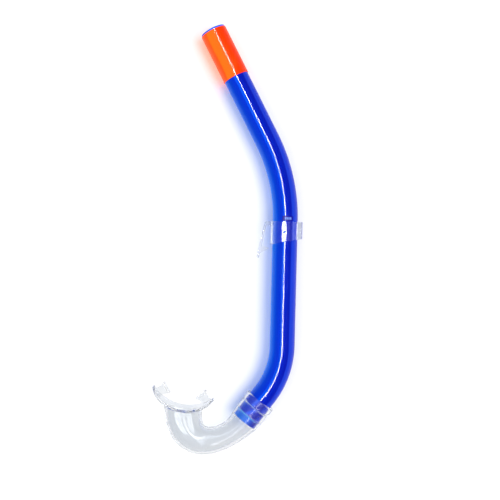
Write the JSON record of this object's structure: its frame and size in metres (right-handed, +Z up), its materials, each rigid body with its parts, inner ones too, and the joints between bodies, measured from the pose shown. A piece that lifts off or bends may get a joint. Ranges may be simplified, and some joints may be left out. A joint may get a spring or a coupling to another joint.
{
  "type": "snorkel tube",
  "caption": "Open-ended J-type snorkel: bent blue tube, orange top sleeve, clear sliding strap keeper and clear soft swivelling mouthpiece with bite tabs.",
  "frame": {"origin": "under the middle of the part's box, on the surface that the snorkel lies on", "axes": "the tube's bends lie in one level plane; +Y runs up the tube's straight middle towards the open top end, +X points away from the mouthpiece, +Z is up"},
  "size_m": [0.1306, 0.3864, 0.0288],
  "materials": {
    "blue_tube": "gloss",
    "orange_sleeve": "gloss",
    "clear_keeper": "clear gloss",
    "clear_mouthpiece": "clear soft gloss"
  },
  "bodies": {
    "tube": {"snorkel_tube": "blue_tube", "safety_sleeve": "orange_sleeve"},
    "keeper": {"keeper_band": "clear_keeper", "keeper_hook": "clear_keeper"},
    "mouthpiece": {"mouthpiece_cuff": "clear_mouthpiece", "mouthpiece_elbow": "clear_mouthpiece", "lip_flange": "clear_mouthpiece", "bite_tab_left": "clear_mouthpiece", "bite_tab_right": "clear_mouthpiece"}
  },
  "joints": [
    {"name": "keeper_slide", "type": "slide", "parent": "tube", "child": "keeper", "axis": [0, 1, 0], "range_m": [-0.088, 0]},
    {"name": "mouthpiece_swivel", "type": "hinge", "parent": "tube", "child": "mouthpiece", "pos_m": [0.02548, -0.15219, 0.0144], "axis": [-0.5948, -0.8039, 0], "continuous": true}
  ]
}
